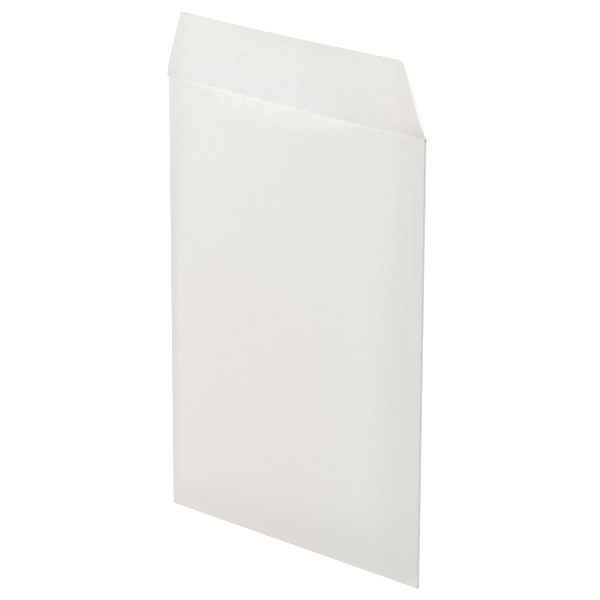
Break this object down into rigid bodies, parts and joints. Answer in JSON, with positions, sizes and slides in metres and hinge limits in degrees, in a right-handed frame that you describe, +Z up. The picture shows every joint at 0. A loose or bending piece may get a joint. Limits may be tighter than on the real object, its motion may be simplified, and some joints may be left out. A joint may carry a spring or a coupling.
{
  "type": "pocket envelope",
  "caption": "Flat paper pocket envelope folded from one sheet, open at its short top end, with a tapered closing flap standing open and gummed side seams.",
  "frame": {"origin": "on the ground, under the middle of the envelope's box", "axes": "+Z up, from the front panel to the back panel; +Y from the bottom fold to the flap; +X to the right, seen from above"},
  "size_m": [0.1628, 0.2644, 0.0052],
  "materials": {
    "paper": "matte uncoated white paper"
  },
  "bodies": {
    "root": {"envelope": "paper"}
  },
  "joints": []
}
